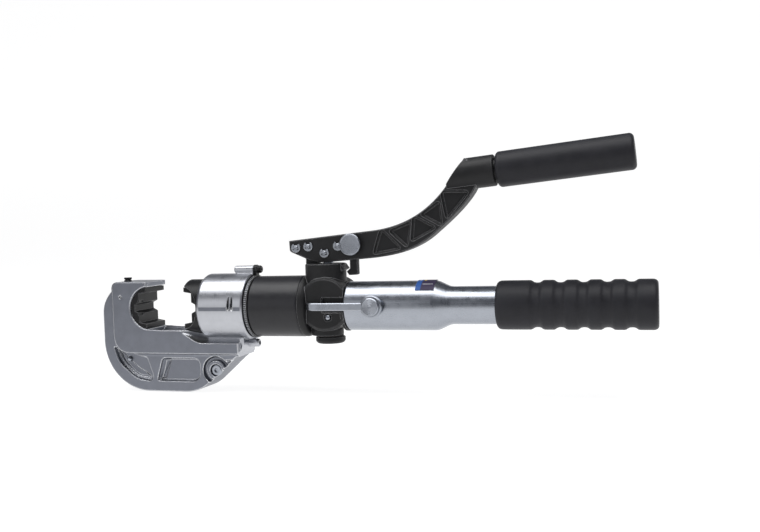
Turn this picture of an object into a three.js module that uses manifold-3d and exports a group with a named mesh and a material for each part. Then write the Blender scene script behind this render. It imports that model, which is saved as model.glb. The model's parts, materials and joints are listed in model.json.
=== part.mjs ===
// Hydraulic hand crimping tool: a swivelling C-shaped head with two U-shaped dies, a single-acting
// ram, a lever pump and an aluminium handle that holds the oil reservoir.
//
// Millimetres. +X runs along the tool's axis and out of the rear end of the handle, +Z is up and
// -Y is the side with the release lever. The origin is the centre of the handle's flat rear end.

import * as THREE from 'three';
import { mergeVertices } from 'three/addons/utils/BufferGeometryUtils.js';
import Module from 'manifold-3d';

const wasm = await Module();
wasm.setup();

// ---------------------------------------------------------------- driving dimensions

const GAP = 0.3; // between pieces that touch
const WELD = 1e-4; // vertices closer than this are one vertex

// sides of a round piece
const SMOOTH = 20;
const MEDIUM = 12;
const SMALL = 8;
const FLAT = Math.cos(Math.PI / SMOOTH); // a smooth piece's flats lie this far out, as a share of its radius
const SLIP = 0.02; // clearance of a seal that turns or slides

// stations along the tool's axis, from the front to the rear
const BARREL_FRONT = -437;
const BARREL_REAR = -387.4;
const SLEEVE_FRONT = -383;
const PUMP_FRONT = -331.4;
const COLLAR_FRONT = -290;
const PUMP_REAR = -287;
const TUBE_FRONT = -286.4;
const SHOULDER_FRONT = -199;
const SHOULDER_REAR = -186.5;
const GRIP_FRONT = -142.4;

// radii of the round pieces on the axis
const BARREL_RADIUS = 33.2;
const BORE_RADIUS = 28.1;
const RAM_HEAD_RADIUS = 27.7;
const SLEEVE_RADIUS = 30;
const CYLINDER_BORE = 23;
const TUBE_RADIUS = 23.6;
const TUBE_BORE = 20.6;
const NECK_RADIUS = 17.8;
const NECK_BORE = 15;
const GRIP_RADIUS = 22.7;

// the C-shaped head and its dies
const HEAD_HALF = 20; // half the thickness of the jaw
const RIM_HALF = 17; // half the thickness of the rim below it
const NEST = { x: -496.6, radius: 21.4 }; // round seat of the fixed die
const RAM_NEST_X = -461.4; // the moving die's seat, a mirror image of it
const DIE_HALF = 18.5;
const DIE_TIP = 3.9; // from the seat's centre back to the die's tips
const JAW_TIP = -499.5;
const THROAT_FLOOR = -22.5;
const BUTTON_X = -531.7;
const CROSS_PIN = { x: -529.3, z: 11.4 };

// the pump, its lever and its latch
const PUMP_X = -311; // vertical axis of the turret
const PLUNGER_X = -308.2;
const TURRET_TOP = 41.5;
const DRUM = { x: -306.6, z: 3, radius: 26, half: 21.5 };
const LEVER_HALF = 9; // half the thickness of the lever
const CHEEK_GAP = 5; // half the slot between its cheeks
const STOP_PIN = { x: -337.8, z: 57.5 };
const PIVOT_PIN = { x: -325, z: 58.5 };
const PLUNGER_PIN = { x: -308.5, z: 52 };
const SPRING_PIN = { x: -294.5, z: 58.5 };
const LATCH = { x: -280.8, z: 59.5 };
const PIN_RADIUS = 2.3;
const RELEASE = { x: -257, z: 1.4 };
const LEVER_GRIP = { x: -140, z: 124.4, radius: 16.4, length: 123, tilt: THREE.MathUtils.degToRad(5.06) };

// ---------------------------------------------------------------- finishes

const finish = (color, roughness, metalness) =>
  new THREE.MeshStandardMaterial({ color, roughness, metalness });

const FORGED = finish('#7a7f89', 0.42, 0.85);
const BLACK_STEEL = finish('#1d1e21', 0.38, 0.7);
const BLACK_PAINT = finish('#17181a', 0.45, 0.2);
const CAST_BLACK = finish('#26272b', 0.55, 0.3);
const ALUMINIUM = finish('#c9cdd3', 0.25, 0.95);
const BRIGHT_STEEL = finish('#a9adb3', 0.3, 0.95);
const SPRING_STEEL = finish('#8c8f94', 0.35, 0.9);
const RUBBER = finish('#1b1c1f', 0.8, 0);
const SEAL_RUBBER = finish('#2a2320', 0.75, 0);
const BRASS = finish('#b08d3f', 0.35, 0.9);
const LABEL = finish('#2b2f58', 0.4, 0);

// ---------------------------------------------------------------- joining and cutting

function solid(geometry) {
  const bare = geometry.clone();
  bare.deleteAttribute('normal');
  bare.deleteAttribute('uv');
  const welded = mergeVertices(bare, WELD);
  const corner = welded.index.array;
  const triangles = [];
  for (let i = 0; i < corner.length; i += 3) {
    const [a, b, c] = [corner[i], corner[i + 1], corner[i + 2]];
    if (a !== b && b !== c && c !== a) triangles.push(a, b, c);
  }
  const mesh = new wasm.Mesh({
    numProp: 3,
    vertProperties: new Float32Array(welded.attributes.position.array),
    triVerts: new Uint32Array(triangles),
  });
  return new wasm.Manifold(mesh);
}

function geometryOf(manifold) {
  const mesh = manifold.getMesh();
  const geometry = new THREE.BufferGeometry();
  geometry.setAttribute('position', new THREE.BufferAttribute(mesh.vertProperties, 3));
  geometry.setIndex(new THREE.BufferAttribute(mesh.triVerts, 1));
  return geometry;
}

const join = (...pieces) => geometryOf(pieces.map(solid).reduce((sum, next) => sum.add(next)));

const cut = (piece, ...tools) =>
  geometryOf(tools.map(solid).reduce((rest, tool) => rest.subtract(tool), solid(piece)));

// ---------------------------------------------------------------- basic shapes

// A turned piece: its profile is a list of [distance along the axis, radius]. A profile that starts
// on the axis also ends on it, and any other profile closes on its own first point.
function turned(axis, profile, centre = {}, segments = SMOOTH) {
  const points = profile.map(([along, radius]) => new THREE.Vector2(radius, along));
  if (profile[0][1] > 0) points.push(points[0].clone());
  const geometry = new THREE.LatheGeometry(points, segments);
  if (axis === 'x') geometry.rotateZ(-Math.PI / 2);
  if (axis === 'z') geometry.rotateX(Math.PI / 2);
  return geometry.translate(centre.x ?? 0, centre.y ?? 0, centre.z ?? 0);
}

const rod = (axis, from, to, radius, centre, segments) =>
  turned(axis, [[from, 0], [from, radius], [to, radius], [to, 0]], centre, segments);

const tube = (axis, from, to, outer, inner, centre, segments) =>
  turned(axis, [[from, inner], [from, outer], [to, outer], [to, inner]], centre, segments);

const ball = (radius, x, y, z) => new THREE.SphereGeometry(radius, SMALL, 6).translate(x, y, z);

// A flat outline in the XZ plane. Each corner is [x, z, setback]; a setback rounds the corner.
function outline(corners) {
  const shape = new THREE.Shape();
  corners.forEach(([x, z, setback = 0], i) => {
    const corner = new THREE.Vector2(x, z);
    const [before, after] = [-1, 1].map((step) => {
      const [nextX, nextZ] = corners[(i + step + corners.length) % corners.length];
      return new THREE.Vector2(nextX, nextZ).sub(corner).setLength(setback).add(corner);
    });
    if (i === 0) shape.moveTo(before.x, before.y);
    else shape.lineTo(before.x, before.y);
    if (setback > 0) shape.quadraticCurveTo(corner.x, corner.y, after.x, after.y);
  });
  return shape;
}

function plate(shape, yFrom, yTo, curveSegments = 3) {
  const extrusion = { depth: yTo - yFrom, bevelEnabled: false, curveSegments };
  const geometry = new THREE.ExtrudeGeometry(shape, extrusion);
  return geometry.rotateX(Math.PI / 2).translate(0, yTo, 0);
}

const box = (xFrom, xTo, yFrom, yTo, zFrom, zTo) =>
  new THREE.BoxGeometry(xTo - xFrom, yTo - yFrom, zTo - zFrom)
    .translate((xFrom + xTo) / 2, (yFrom + yTo) / 2, (zFrom + zTo) / 2);

class Helix extends THREE.Curve {
  constructor(axis, from, to, radius, turns, centre) {
    super();
    Object.assign(this, { axis, from, to, radius, turns, centre });
  }

  getPoint(t, target = new THREE.Vector3()) {
    const angle = 2 * Math.PI * this.turns * t;
    const along = THREE.MathUtils.lerp(this.from, this.to, t);
    const [p, q] = [this.radius * Math.cos(angle), this.radius * Math.sin(angle)];
    if (this.axis === 'x') target.set(along, p, q);
    if (this.axis === 'y') target.set(p, along, q);
    if (this.axis === 'z') target.set(p, q, along);
    return target.add(this.centre);
  }
}

function spring(axis, from, to, radius, wire, turns, x, y, z) {
  const path = new Helix(axis, from + wire, to - wire, radius - wire, turns, new THREE.Vector3(x, y, z));
  const section = new THREE.Shape().absarc(0, 0, wire, 0, 2 * Math.PI);
  const steps = Math.round(turns * 7);
  return new THREE.ExtrudeGeometry(section, { extrudePath: path, steps, curveSegments: 2 });
}

// ---------------------------------------------------------------- the assembly

const tool = new THREE.Group();

function add(name, geometry, material) {
  const mesh = new THREE.Mesh(geometryOf(solid(geometry)), material);
  mesh.name = name;
  tool.add(mesh);
}

// ---------------------------------------------------------------- head

const BAR_BOTTOM = -46.3; // lower edge of the thick bar that runs under the throat
const RIM_BOTTOM = -85;
const RIM_FRONT = -552;

function jawOutline() {
  return outline([
    [JAW_TIP, 26.5],
    [-538.8, 26.8, 8],
    [-538.8, BAR_BOTTOM, 20],
    [-399, BAR_BOTTOM],
    [-399, THROAT_FLOOR],
    [JAW_TIP + 12, THROAT_FLOOR, 6],
    [JAW_TIP, -21],
  ]);
}

function rimOutline() {
  const shape = new THREE.Shape();
  shape.moveTo(-538, 20);
  shape.quadraticCurveTo(RIM_FRONT, 9, RIM_FRONT, -6);
  shape.lineTo(RIM_FRONT, -34);
  shape.absarc(RIM_FRONT + 51, -34, 51, Math.PI, 1.5 * Math.PI);
  shape.lineTo(-460, RIM_BOTTOM);
  shape.quadraticCurveTo(-444, RIM_BOTTOM, -433, -75.5);
  shape.lineTo(-399, -46);
  shape.lineTo(-394, -38);
  shape.lineTo(-394, -30);
  shape.lineTo(-530, -30);
  shape.lineTo(-530, 20);
  return shape;
}

const POCKET_DEPTH = 6;
const FRONT_POCKET = [
  [-541, -40, 2], [-503, -50.6, 2], [-496, -71, 3], [-500, -75, 2], [-516, -72.5, 6], [-535, -57, 6],
];
const REAR_POCKET = [[-485, -51, 4], [-443, -51, 8], [-443, -74.5, 10], [-492, -74.5, 4]];
const WEB_SCREW = { x: -425.5, z: -62.8 };
const WEB_PIN = { x: -525, z: -53 };
const BOSS_Z = 36.8; // height of the screw bosses over and under the barrel

function headCuts() {
  const pockets = [FRONT_POCKET, REAR_POCKET].flatMap((corners) => [
    plate(outline(corners), -RIM_HALF - 1, -RIM_HALF + POCKET_DEPTH),
    plate(outline(corners), RIM_HALF - POCKET_DEPTH, RIM_HALF + 1),
  ]);
  const seat = rod('y', -HEAD_HALF - 1, HEAD_HALF + 1, NEST.radius + GAP, { x: NEST.x });
  const ramWay = rod('x', JAW_TIP - 0.1, BARREL_REAR + 1, BORE_RADIUS);
  const buttonBore = turned('z', [
    [-15, 0], [-15, 3.8], [22, 3.8], [22, 4.4], [28, 4.4], [28, 0],
  ], { x: BUTTON_X }, MEDIUM);
  const screwBore = turned('y', [
    [-RIM_HALF - 1, 0], [-RIM_HALF - 1, 6.2], [-12, 6.2], [-12, 3.3], [12, 3.3], [12, 0],
  ], WEB_SCREW, MEDIUM);
  return [
    seat,
    ramWay,
    buttonBore,
    rod('y', -HEAD_HALF - 1, HEAD_HALF + 1, 1.3, CROSS_PIN, SMALL),
    rod('x', -531, -517, 2.2, {}, SMALL),
    screwBore,
    rod('y', -RIM_HALF - 1, -3, 2.7, WEB_PIN, SMALL),
    rod('x', -402, BARREL_REAR + 1, 2.2, { z: BOSS_Z }, SMALL),
    rod('x', -396, -383, 2.2, { z: -BOSS_Z }, SMALL),
    ...pockets,
  ];
}

function addHead() {
  const body = join(
    plate(jawOutline(), -HEAD_HALF, HEAD_HALF),
    plate(rimOutline(), -RIM_HALF, RIM_HALF, SMALL),
    turned('x', [
      [BARREL_FRONT, 0], [BARREL_FRONT, BARREL_RADIUS - 1.5], [BARREL_FRONT + 2.5, BARREL_RADIUS],
      [BARREL_REAR, BARREL_RADIUS], [BARREL_REAR, 0],
    ]),
    turned('x', [
      [-408, 0], [-408, 2.6], [-406.5, 3.8], [BARREL_REAR, 3.8], [BARREL_REAR, 0],
    ], { z: BOSS_Z }, MEDIUM),
    rod('x', -400, -384, 4, { z: -BOSS_Z }, MEDIUM),
    box(-404, BARREL_REAR, -2.6, 2.6, 30, 36),
  );
  add('c_head', cut(body, ...headCuts()), FORGED);
  add('web_screw', cut(
    turned('y', [
      [-16, 0], [-16, 5.6], [-12 - GAP, 5.6], [-12 - GAP, 3], [11, 3], [11, 0],
    ], WEB_SCREW, MEDIUM),
    rod('y', -17, -14, 2.6, WEB_SCREW, 6),
  ), BRIGHT_STEEL);
  add('web_pin', rod('y', -RIM_HALF + 1, -3.4, 2.4, WEB_PIN, SMALL), BRIGHT_STEEL);
}

function addDieRelease() {
  const stem = [
    [-4, 0], [-4, 1.6], [4, 1.6], [6, 3.5], [9.9, 3.5], [9.9, 1.1], [15.4, 1.1], [15.4, 3.5],
    [26, 3.5], [26, 4], [27.6, 4], [27.6, 3.2], [28.8, 3.2], [28.8, 4], [30.5, 4], [30.5, 0],
  ];
  add('die_button', turned('z', stem, { x: BUTTON_X }, MEDIUM), BLACK_STEEL);
  add('button_spring', spring('z', -14.6, -4.4, 3.3, 0.5, 5, BUTTON_X, 0, 0), SPRING_STEEL);
  add('button_cross_pin', rod('y', -HEAD_HALF + 0.8, HEAD_HALF - 0.8, 1, CROSS_PIN, SMALL), SPRING_STEEL);
  add('die_lock_pin', turned('x', [
    [-525.9, 0], [-525.9, 1.9], [-517, 1.9], [-516.3, 1.2], [-516.3, 0],
  ], {}, SMALL), BRIGHT_STEEL);
}

// A U-shaped die half. side is +1 when its back faces the front of the tool and -1 when it faces the rear.
function dieOutline(centreX, side) {
  const backAngle = Math.asin(20.6 / NEST.radius);
  const shape = new THREE.Shape();
  const at = (depth) => centreX - side * depth;
  const inner = [[DIE_TIP, 16], [12, 14.6], [12, 5.6], [16.8, 3]];
  shape.moveTo(at(DIE_TIP), 20.6);
  if (side > 0) shape.absarc(centreX, 0, NEST.radius, Math.PI - backAngle, Math.PI + backAngle);
  else shape.absarc(centreX, 0, NEST.radius, backAngle, -backAngle, true);
  shape.lineTo(at(DIE_TIP), -20.6);
  inner.forEach(([depth, z]) => shape.lineTo(at(depth), -z));
  [...inner].reverse().forEach(([depth, z]) => shape.lineTo(at(depth), z));
  return shape;
}

function addDies() {
  const fixed = plate(dieOutline(NEST.x, 1), -DIE_HALF, DIE_HALF, MEDIUM);
  add('fixed_die', cut(fixed, rod('x', -519, -515.8, 2.2, {}, SMALL)), BLACK_STEEL);
  add('moving_die', plate(dieOutline(RAM_NEST_X, -1), -DIE_HALF, DIE_HALF, MEDIUM), BLACK_STEEL);
}

// ---------------------------------------------------------------- ring that holds the head on

function addSwivelRing() {
  const ring = join(
    tube('x', BARREL_REAR + GAP, SLEEVE_FRONT - GAP, 31, 27.8),
    rod('x', BARREL_REAR + GAP, SLEEVE_FRONT - GAP, 4.6, { z: BOSS_Z }, MEDIUM),
    box(BARREL_REAR + GAP, SLEEVE_FRONT - GAP, -2.6, 2.6, 30, 36),
  );
  const screwHole = rod('x', BARREL_REAR, SLEEVE_FRONT, 2.2, { z: BOSS_Z }, SMALL);
  add('swivel_ring', cut(ring, screwHole), BLACK_STEEL);
  add('ring_screw', turned('x', [
    [-400, 0], [-400, 1.9], [SLEEVE_FRONT, 1.9], [SLEEVE_FRONT, 3.8], [-380, 3.8], [-379, 3], [-379, 0],
  ], { z: BOSS_Z }, MEDIUM), BLACK_STEEL);
  add('lug_screw', cut(
    rod('x', -395, -385, 1.9, { z: -BOSS_Z }, SMALL),
    rod('x', -387, -384, 1.1, { z: -BOSS_Z }, 6),
  ), BLACK_STEEL);
}

// ---------------------------------------------------------------- ram and cylinder

const RAM_FRONT = -458.2;
const RAM_REAR = -345;
const SHAFT_RADIUS = 22.6;

function addRam() {
  const body = turned('x', [
    [RAM_FRONT, 0], [RAM_FRONT, RAM_HEAD_RADIUS - 1.2], [RAM_FRONT + 1.4, RAM_HEAD_RADIUS],
    [-425, RAM_HEAD_RADIUS], [-425, SHAFT_RADIUS], [-354, SHAFT_RADIUS], [-354, 20], [-350, 20],
    [-350, SHAFT_RADIUS], [RAM_REAR, SHAFT_RADIUS], [RAM_REAR, 14.5], [-412, 14.5], [-412, 0],
  ]);
  const seat = rod('y', -30, 30, NEST.radius + GAP, { x: RAM_NEST_X });
  add('ram', cut(body, seat), BLACK_STEEL);
  add('piston_seal', tube('x', -354 + GAP, -350 - GAP, CYLINDER_BORE * FLAT - SLIP, 20 + GAP), SEAL_RUBBER);
  add('return_spring', spring('x', -411.5, -346.5, 13.8, 1.5, 9, 0, 0, 0), SPRING_STEEL);
}

function addCylinder() {
  const wiper = { front: -400, rear: -397 };
  add('cylinder', turned('x', [
    [-402, CYLINDER_BORE], [-402, 27.4], [SLEEVE_FRONT + GAP, 27.4], [SLEEVE_FRONT + GAP, SLEEVE_RADIUS],
    [PUMP_FRONT - GAP, SLEEVE_RADIUS], [PUMP_FRONT - GAP, CYLINDER_BORE], [wiper.rear, CYLINDER_BORE],
    [wiper.rear, 25.4], [wiper.front, 25.4], [wiper.front, CYLINDER_BORE],
  ]), BLACK_PAINT);
  const lip = tube('x', wiper.front + GAP, wiper.rear - GAP, 25.1, SHAFT_RADIUS / FLAT + SLIP);
  add('rod_wiper', lip, SEAL_RUBBER);
}

// ---------------------------------------------------------------- pump

const SPIGOT_FRONT = -343; // front of the pump's end inside the cylinder
const BORE_FOOT = -8;
const PLUG_TOP = -28.3;
const RELIEF = { x: -312, z: 12 };
const DELIVERY_Z = -11;
const BALL_PLUG = { x: -302.9, z: -9.4 };

function pumpCasting() {
  const drumEdge = DRUM.radius - 2;
  const turretNose = [[-301, TURRET_TOP], [-292.4, 41.4], [-288.8, 36.1], [-291.5, 34.6], [-301, 30]];
  const ear = new THREE.Shape();
  ear.moveTo(-329.8, 38);
  ear.lineTo(-317.6, 38);
  ear.absarc(PIVOT_PIN.x, PIVOT_PIN.z, 6.5, 0, Math.PI);
  ear.lineTo(-329.8, 50);
  return join(
    turned('x', [
      [SPIGOT_FRONT, 0], [SPIGOT_FRONT, CYLINDER_BORE - GAP], [PUMP_FRONT, CYLINDER_BORE - GAP],
      [PUMP_FRONT, SLEEVE_RADIUS], [PUMP_FRONT + 3.4, SLEEVE_RADIUS], [PUMP_FRONT + 5.9, 27],
      [PUMP_FRONT + 7.4, 20], [COLLAR_FRONT, 20], [COLLAR_FRONT, 24.2], [PUMP_REAR, 24.2],
      [PUMP_REAR, TUBE_BORE - GAP], [-240, TUBE_BORE - GAP],
      [-240, 9], [-232, 9], [-232, 0],
    ]),
    turned('y', [
      [-DRUM.half, 0], [-DRUM.half, drumEdge], [2 - DRUM.half, DRUM.radius], [DRUM.half - 2, DRUM.radius],
      [DRUM.half, drumEdge], [DRUM.half, 0],
    ], { x: DRUM.x, z: DRUM.z }),
    turned('z', [
      [PLUG_TOP, 0], [PLUG_TOP, 15.6], [-10, 15.6], [-10, 20], [TURRET_TOP, 20], [TURRET_TOP, 0],
    ], { x: PUMP_X }),
    plate(outline(turretNose), -8, 8),
    plate(ear, -CHEEK_GAP + GAP, CHEEK_GAP - GAP),
  );
}

function pumpBores() {
  return [
    turned('z', [
      [PLUG_TOP - 1, 0], [PLUG_TOP - 1, 9], [-14, 9], [-14, 3.4], [BORE_FOOT, 3.4], [BORE_FOOT, 5.2],
      [38, 5.2], [38, 8.6], [TURRET_TOP + 1, 8.6], [TURRET_TOP + 1, 0],
    ], { x: PLUNGER_X }, MEDIUM),
    turned('x', [
      [-344, 0], [-344, 4.2], [-317, 4.2], [-315, 2], [-311, 2], [-311, 0],
    ], { z: DELIVERY_Z }, SMALL),
    rod('x', -344, -336, 3.3, {}, SMALL),
    turned('y', [[6, 0], [6, 2], [9, 2], [9, 4.2], [23, 4.2], [23, 0]], RELIEF, SMALL),
    rod('y', -DRUM.half - 1, -DRUM.half + 6, 3.2, BALL_PLUG, SMALL),
    rod('y', -22, -2, 3.1, RELEASE, SMALL),
    rod('x', -258, -231, 4, { z: -6 }, SMALL),
    rod('y', -6, 6, PIN_RADIUS + GAP, PIVOT_PIN, MEDIUM),
    box(-309, -278, -DRUM.half - 1, -DRUM.half + 3, -5, 9.8),
    tube('x', TUBE_FRONT - GAP, TUBE_FRONT + 60, 40, TUBE_BORE - GAP),
  ];
}

function addPump() {
  add('pump_body', cut(pumpCasting(), ...pumpBores()), CAST_BLACK);
  add('plunger_gland', tube('z', 38 + GAP, TURRET_TOP - 0.1, 8.3, 5.2, { x: PLUNGER_X }, MEDIUM), BRASS);
  add('bottom_plug', turned('z', [
    [-36, 0], [-36, 12.5], [-34, 14.5], [PLUG_TOP - 1.6, 14.5], [PLUG_TOP - 1.6, 8.7], [-19, 8.7], [-19, 0],
  ], { x: PLUNGER_X }, MEDIUM), CAST_BLACK);
  const plugSeal = tube('z', PLUG_TOP - 1.6 + GAP, PLUG_TOP - GAP, 13, 9.2, { x: PLUNGER_X }, MEDIUM);
  add('plug_seal', plugSeal, SEAL_RUBBER);
  add('ball_plug', ball(2.8, BALL_PLUG.x, -DRUM.half + 1.2, BALL_PLUG.z), BRIGHT_STEEL);
  add('spring_anchor', turned('x', [
    [-352, 0], [-352, 6], [-349, 6], [-349, 3], [-337, 3], [-337, 0],
  ], {}, SMALL), BRIGHT_STEEL);
}

function addValves() {
  add('suction_ball', ball(3, PLUNGER_X, 0, -11.2), BRIGHT_STEEL);
  add('suction_spring', spring('z', -18.7, -14.5, 3, 0.4, 3, PLUNGER_X, 0, 0), SPRING_STEEL);
  add('delivery_ball', ball(3, -321, 0, DELIVERY_Z), BRIGHT_STEEL);
  add('delivery_spring', spring('x', -334.5, -324.4, 3.4, 0.4, 5, 0, 0, DELIVERY_Z), SPRING_STEEL);
  add('delivery_plug', tube('x', -342.5, -334.9, 3.9, 1.5, { z: DELIVERY_Z }, SMALL), BRASS);
  add('relief_ball', ball(3, RELIEF.x, 12.3, RELIEF.z), BRIGHT_STEEL);
  add('relief_spring', spring('y', 15.6, 18.4, 3.4, 0.4, 2.5, RELIEF.x, 0, RELIEF.z), SPRING_STEEL);
  add('relief_screw', cut(
    rod('y', 18.7, 22.4, 3.9, RELIEF, MEDIUM),
    rod('y', 20.6, 23, 1.8, RELIEF, 6),
  ), BRASS);
}

function addPlunger() {
  const pinSlot = outline([
    [PLUNGER_X - 4.1, 48.8, 2.5], [PLUNGER_X + 4.1, 48.8, 2.5],
    [PLUNGER_X + 4.1, 55.2, 2.5], [PLUNGER_X - 4.1, 55.2, 2.5],
  ]);
  const tang = outline([
    [PLUNGER_X - 6.6, 44, 2], [PLUNGER_X + 6.6, 44, 2], [PLUNGER_X + 6.6, 58, 3], [PLUNGER_X - 6.6, 58, 3],
  ]);
  const stem = turned('z', [
    [-6, 0], [-6, 4.9], [20, 4.9], [20, 3.9], [22.4, 3.9], [22.4, 4.9], [45, 4.9], [45, 0],
  ], { x: PLUNGER_X }, MEDIUM);
  const flat = CHEEK_GAP - 0.6;
  add('plunger', cut(join(stem, plate(tang, -flat, flat)), plate(pinSlot, -9, 9)), BRIGHT_STEEL);
  const seal = tube('z', 20 + GAP, 22.4 - GAP, 5.05, 3.9 + GAP, { x: PLUNGER_X }, MEDIUM);
  add('plunger_seal', seal, SEAL_RUBBER);
}

// ---------------------------------------------------------------- handle

function labelShape() {
  const [inner, outer] = [TUBE_RADIUS + GAP, TUBE_RADIUS + GAP + 0.3];
  const [from, to] = [THREE.MathUtils.degToRad(86), THREE.MathUtils.degToRad(139)];
  const shape = new THREE.Shape();
  shape.absarc(0, 0, outer, from, to);
  shape.absarc(0, 0, inner, to, from, true);
  return shape;
}

function addHandle() {
  const wall = turned('x', [
    [TUBE_FRONT, TUBE_BORE], [TUBE_FRONT, TUBE_RADIUS], [SHOULDER_FRONT, TUBE_RADIUS],
    [SHOULDER_REAR, NECK_RADIUS], [-6, NECK_RADIUS], [-6, NECK_BORE],
    [SHOULDER_REAR - 1, NECK_BORE], [SHOULDER_FRONT - 1, TUBE_BORE],
  ]);
  add('handle_tube', cut(wall, rod('y', -30, -10, 3.6, RELEASE, SMALL)), ALUMINIUM);
  const extrusion = { depth: 18, bevelEnabled: false, curveSegments: 8 };
  const label = new THREE.ExtrudeGeometry(labelShape(), extrusion);
  add('spec_label', label.rotateX(Math.PI / 2).rotateZ(Math.PI / 2).translate(-217, 0, 0), LABEL);
  add('reservoir_bladder', turned('x', [
    [-62, 0], [-64, 6.5], [-71, 11.6], [-189, 11.6], [-206, 17], [-225, 17], [-231, 9.4], [-239.6, 9.4],
    [-239.6, 11.8], [-232, 11.8], [-226, 18.8], [-205, 18.8], [-188, 13.4], [-70, 13.4], [-62, 8], [-60, 0],
  ], {}, MEDIUM), SEAL_RUBBER);
  add('handle_plug', rod('x', -20, -6.4, NECK_BORE - GAP, {}, MEDIUM), BRASS);
}

const FIRST_VALLEY = -106; // centre of the first of the grooves for the fingers
const VALLEY_PITCH = 20.8;
const VALLEYS = 5;

function addGrip() {
  const half = 5;
  const depth = 2.4;
  const wave = Array.from({ length: VALLEYS }, (_, i) => FIRST_VALLEY + i * VALLEY_PITCH).flatMap((x) => [
    [x - half, GRIP_RADIUS], [x, GRIP_RADIUS - depth], [x + half, GRIP_RADIUS],
  ]);
  add('main_grip', turned('x', [
    [GRIP_FRONT, NECK_RADIUS + GAP], [GRIP_FRONT, GRIP_RADIUS - 3], [GRIP_FRONT + 3, GRIP_RADIUS], ...wave,
    [-2, GRIP_RADIUS], [0, GRIP_RADIUS - 2.5], [0, 0], [-5.7, 0], [-5.7, NECK_RADIUS + GAP],
  ]), RUBBER);
}

// ---------------------------------------------------------------- release lever

function addRelease() {
  const hubRear = -26.2;
  const hubFront = -30.2;
  const arm = new THREE.Shape();
  arm.moveTo(RELEASE.x, hubRear);
  arm.lineTo(-316.6, hubRear);
  arm.lineTo(-322.1, -22.8);
  arm.lineTo(-323.6, -25);
  arm.lineTo(-318.1, -29.4);
  arm.lineTo(-315.6, hubFront);
  arm.lineTo(RELEASE.x, hubFront);
  const armWidth = 7.2;
  const bar = new THREE.ExtrudeGeometry(arm, { depth: armWidth, bevelEnabled: false });
  bar.translate(0, 0, RELEASE.z - armWidth / 2);
  const hub = rod('y', hubFront, hubRear, 10.6, RELEASE, MEDIUM);
  add('release_lever', cut(join(hub, bar), rod('y', -40, -20, 3.1, RELEASE, SMALL)), BRIGHT_STEEL);
  add('release_screw', turned('y', [
    [-33, 0], [-33, 7.6], [-32.2, 8.5], [hubFront - GAP, 8.5], [hubFront - GAP, 2.8], [-24, 2.8], [-24, 0],
  ], RELEASE, MEDIUM), BRIGHT_STEEL);
  add('release_needle', turned('y', [
    [-23.6, 0], [-23.6, 2.8], [-8, 2.8], [-3, 0.6], [-3, 0],
  ], RELEASE, SMALL), BRIGHT_STEEL);
  add('release_spring', spring('y', -25.9, -23.9, 6.6, 0.4, 2, RELEASE.x, 0, RELEASE.z), SPRING_STEEL);
}

// ---------------------------------------------------------------- pump lever

// Outline of the lever: nearly straight over the pump, then sweeping up to the socket.
function leverOutline() {
  const shape = new THREE.Shape();
  shape.moveTo(-345.2, 64.3);
  shape.lineTo(-344.8, 55.5);
  shape.quadraticCurveTo(-344.6, 54, -342.6, 53);
  shape.lineTo(-325, 45.4);
  shape.quadraticCurveTo(-318, 42.3, -306, 42.8);
  shape.lineTo(-262, 45.9);
  shape.quadraticCurveTo(-220.4, 48.8, -197.7, 69.0);
  shape.quadraticCurveTo(-168.2, 92.6, -159.9, 107.9);
  shape.lineTo(-150, 124);
  shape.lineTo(-169.1, 136.3);
  shape.lineTo(-181.7, 118.6);
  shape.quadraticCurveTo(-208, 78.4, -256, 72.5);
  return shape;
}

const TRUSS_POCKETS = [
  [[-259.5, 49.5, 4], [-251.3, 74.5, 6], [-231.3, 54.3, 4]],
  [[-243.5, 71.3, 4], [-225.5, 55, 4], [-221.3, 79.6, 4]],
  [[-221.8, 60.5, 4], [-219.3, 85.5, 5], [-196.8, 73, 4]],
  [[-212.5, 85.8, 4], [-191.3, 74, 4], [-193.3, 98, 4]],
  [[-192.3, 107, 5], [-164.5, 106, 5], [-187.3, 80, 5]],
];

const LEVER_PINS = {
  stop_pin: STOP_PIN,
  pivot_pin: PIVOT_PIN,
  plunger_pin: PLUNGER_PIN,
  spring_pin: SPRING_PIN,
};

// Moves a piece built along +X from the origin onto the tilted axis of the lever's grip.
const onGripAxis = (geometry) =>
  geometry.rotateY(-LEVER_GRIP.tilt).translate(LEVER_GRIP.x, 0, LEVER_GRIP.z);

function leverCuts() {
  const depth = 3;
  const pockets = TRUSS_POCKETS.flatMap((corners) => [
    plate(outline(corners), -LEVER_HALF - 1, -LEVER_HALF + depth),
    plate(outline(corners), LEVER_HALF - depth, LEVER_HALF + 1),
  ]);
  const channel = outline([[-350, 30], [-266, 30], [-266, 67, 4], [-298, 65.5], [-298, 80], [-350, 80]]);
  const pinHoles = Object.values(LEVER_PINS).map((pin) => rod('y', -12, 12, PIN_RADIUS + GAP, pin, MEDIUM));
  return [
    ...pockets,
    ...pinHoles,
    plate(channel, -CHEEK_GAP, CHEEK_GAP),
    rod('y', -12, 12, 3.2, LATCH, MEDIUM),
    onGripAxis(rod('x', -22, 1, 11.2, {}, MEDIUM)),
  ];
}

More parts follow.
